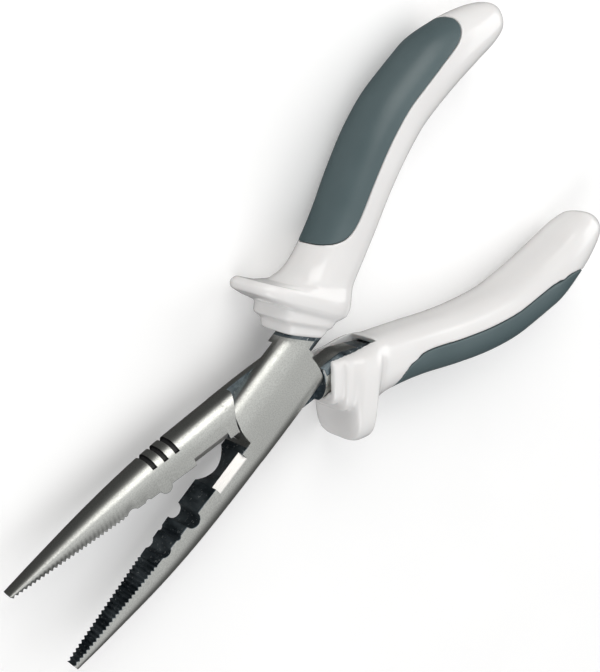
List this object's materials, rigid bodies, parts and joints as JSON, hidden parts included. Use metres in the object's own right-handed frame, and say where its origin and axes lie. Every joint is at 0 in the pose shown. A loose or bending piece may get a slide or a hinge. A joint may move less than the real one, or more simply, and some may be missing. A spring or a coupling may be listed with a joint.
{
  "type": "fishing pliers",
  "caption": "Long-nose fishing pliers with side cutters, crimping and toothed jaws, a lap joint and two-colour moulded grips.",
  "frame": {"origin": "where the pivot axis meets the front face of the joint", "axes": "+X from the pivot towards the jaw tips, half way between the open jaws; +Z along the pivot axis, out of the joint's front face; +Y towards the front lever's jaw"},
  "size_m": [0.1717, 0.0796, 0.0188],
  "materials": {
    "steel": "satin nickel-plated steel, dark oxide on the inner jaw faces",
    "white_plastic": "gloss white moulded plastic",
    "soft_slate": "satin slate-grey soft inlay"
  },
  "bodies": {
    "front_body": {"front_lever": "steel", "pivot_rivet": "steel", "front_grip": "white_plastic", "front_inlay": "soft_slate"},
    "back_body": {"back_lever": "steel", "back_grip": "white_plastic", "back_inlay": "soft_slate"}
  },
  "joints": [
    {"name": "pivot", "type": "hinge", "parent": "front_body", "child": "back_body", "pos_m": [0, 0, -0.0045], "axis": [0, 0, 1], "range_deg": [-42.14, 17.7]}
  ]
}
